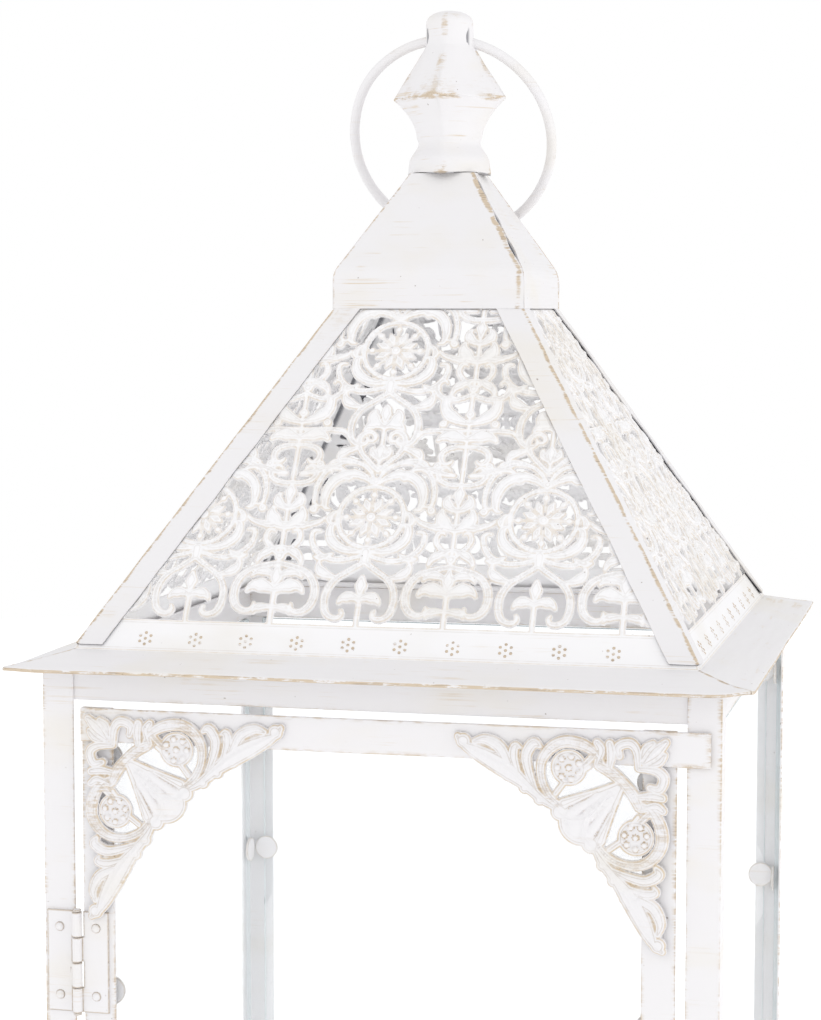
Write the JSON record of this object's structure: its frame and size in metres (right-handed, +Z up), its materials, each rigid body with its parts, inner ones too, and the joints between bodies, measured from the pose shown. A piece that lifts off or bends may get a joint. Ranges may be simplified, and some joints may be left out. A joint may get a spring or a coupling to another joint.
{
  "type": "candle lantern",
  "caption": "Square white metal candle lantern with a pierced pyramid roof, glazed sides, a hinged glazed front door with filigree corners, and a carrying ring on a cast finial.",
  "frame": {"origin": "centre of the footprint on the ground", "axes": "+Z up, -Y out through the door, +X to the right seen from the door"},
  "size_m": [0.272, 0.272, 0.6433],
  "materials": {
    "sheet_white": "distressed brushed white paint, rubbed to rust at the edges",
    "cast_white": "distressed white paint on a casting",
    "ring_white": "distressed white paint on wire",
    "pane_glass": "clear",
    "plain_steel": "zinc plated"
  },
  "bodies": {
    "frame": {"corner_post_front_left": "sheet_white", "corner_post_front_right": "sheet_white", "corner_post_back_left": "sheet_white", "corner_post_back_right": "sheet_white", "top_rail_front": "sheet_white", "top_rail_back": "sheet_white", "top_rail_left": "sheet_white", "top_rail_right": "sheet_white", "bottom_rail_front": "sheet_white", "bottom_rail_back": "sheet_white", "bottom_rail_left": "sheet_white", "bottom_rail_right": "sheet_white", "floor_plate": "sheet_white", "base_strip_front": "sheet_white", "base_strip_right": "sheet_white", "base_strip_back": "sheet_white", "base_strip_left": "sheet_white", "eave_strip_front": "sheet_white", "eave_strip_right": "sheet_white", "eave_strip_back": "sheet_white", "eave_strip_left": "sheet_white", "roof_panel_front": "sheet_white", "roof_panel_right": "sheet_white", "roof_panel_back": "sheet_white", "roof_panel_left": "sheet_white", "hip_strip_front_left": "sheet_white", "hip_strip_front_right": "sheet_white", "hip_strip_back_right": "sheet_white", "hip_strip_back_left": "sheet_white", "roof_cap": "sheet_white", "finial": "cast_white", "finial_screw": "plain_steel", "finial_washer": "plain_steel", "glass_pane_left": "pane_glass", "glass_pane_right": "pane_glass", "glass_pane_back": "pane_glass", "pane_clips": "sheet_white", "hinge_leaf_post_upper": "sheet_white", "hinge_leaf_post_lower": "sheet_white", "hinge_pin_upper": "sheet_white", "hinge_pin_lower": "sheet_white", "hinge_rivets_post": "sheet_white", "latch_pivot": "sheet_white"},
    "door": {"door_stile_left": "sheet_white", "door_stile_right": "sheet_white", "door_rail_top": "sheet_white", "door_rail_bottom": "sheet_white", "door_glass": "pane_glass", "door_glass_clips": "sheet_white", "door_spandrel_left": "sheet_white", "door_spandrel_right": "sheet_white", "hinge_leaf_door_upper": "sheet_white", "hinge_leaf_door_lower": "sheet_white", "hinge_rivets_door": "sheet_white", "latch_peg": "sheet_white"},
    "ring": {"ring_handle": "ring_white"},
    "latch": {"latch_hook": "sheet_white"}
  },
  "joints": [
    {"name": "door_swing", "type": "hinge", "parent": "frame", "child": "door", "pos_m": [-0.1117, -0.127, 0.2075], "axis": [0, 0, -1], "range_deg": [0, 150]},
    {"name": "ring_swing", "type": "hinge", "parent": "frame", "child": "ring", "pos_m": [0, 0, 0.63299], "axis": [0.9981, 0, -0.061], "range_deg": [0, 316.92]},
    {"name": "latch_hook_turn", "type": "hinge", "parent": "frame", "child": "latch", "pos_m": [0.119, -0.127, 0.2075], "axis": [0, -1, 0], "range_deg": [0, 270]}
  ]
}
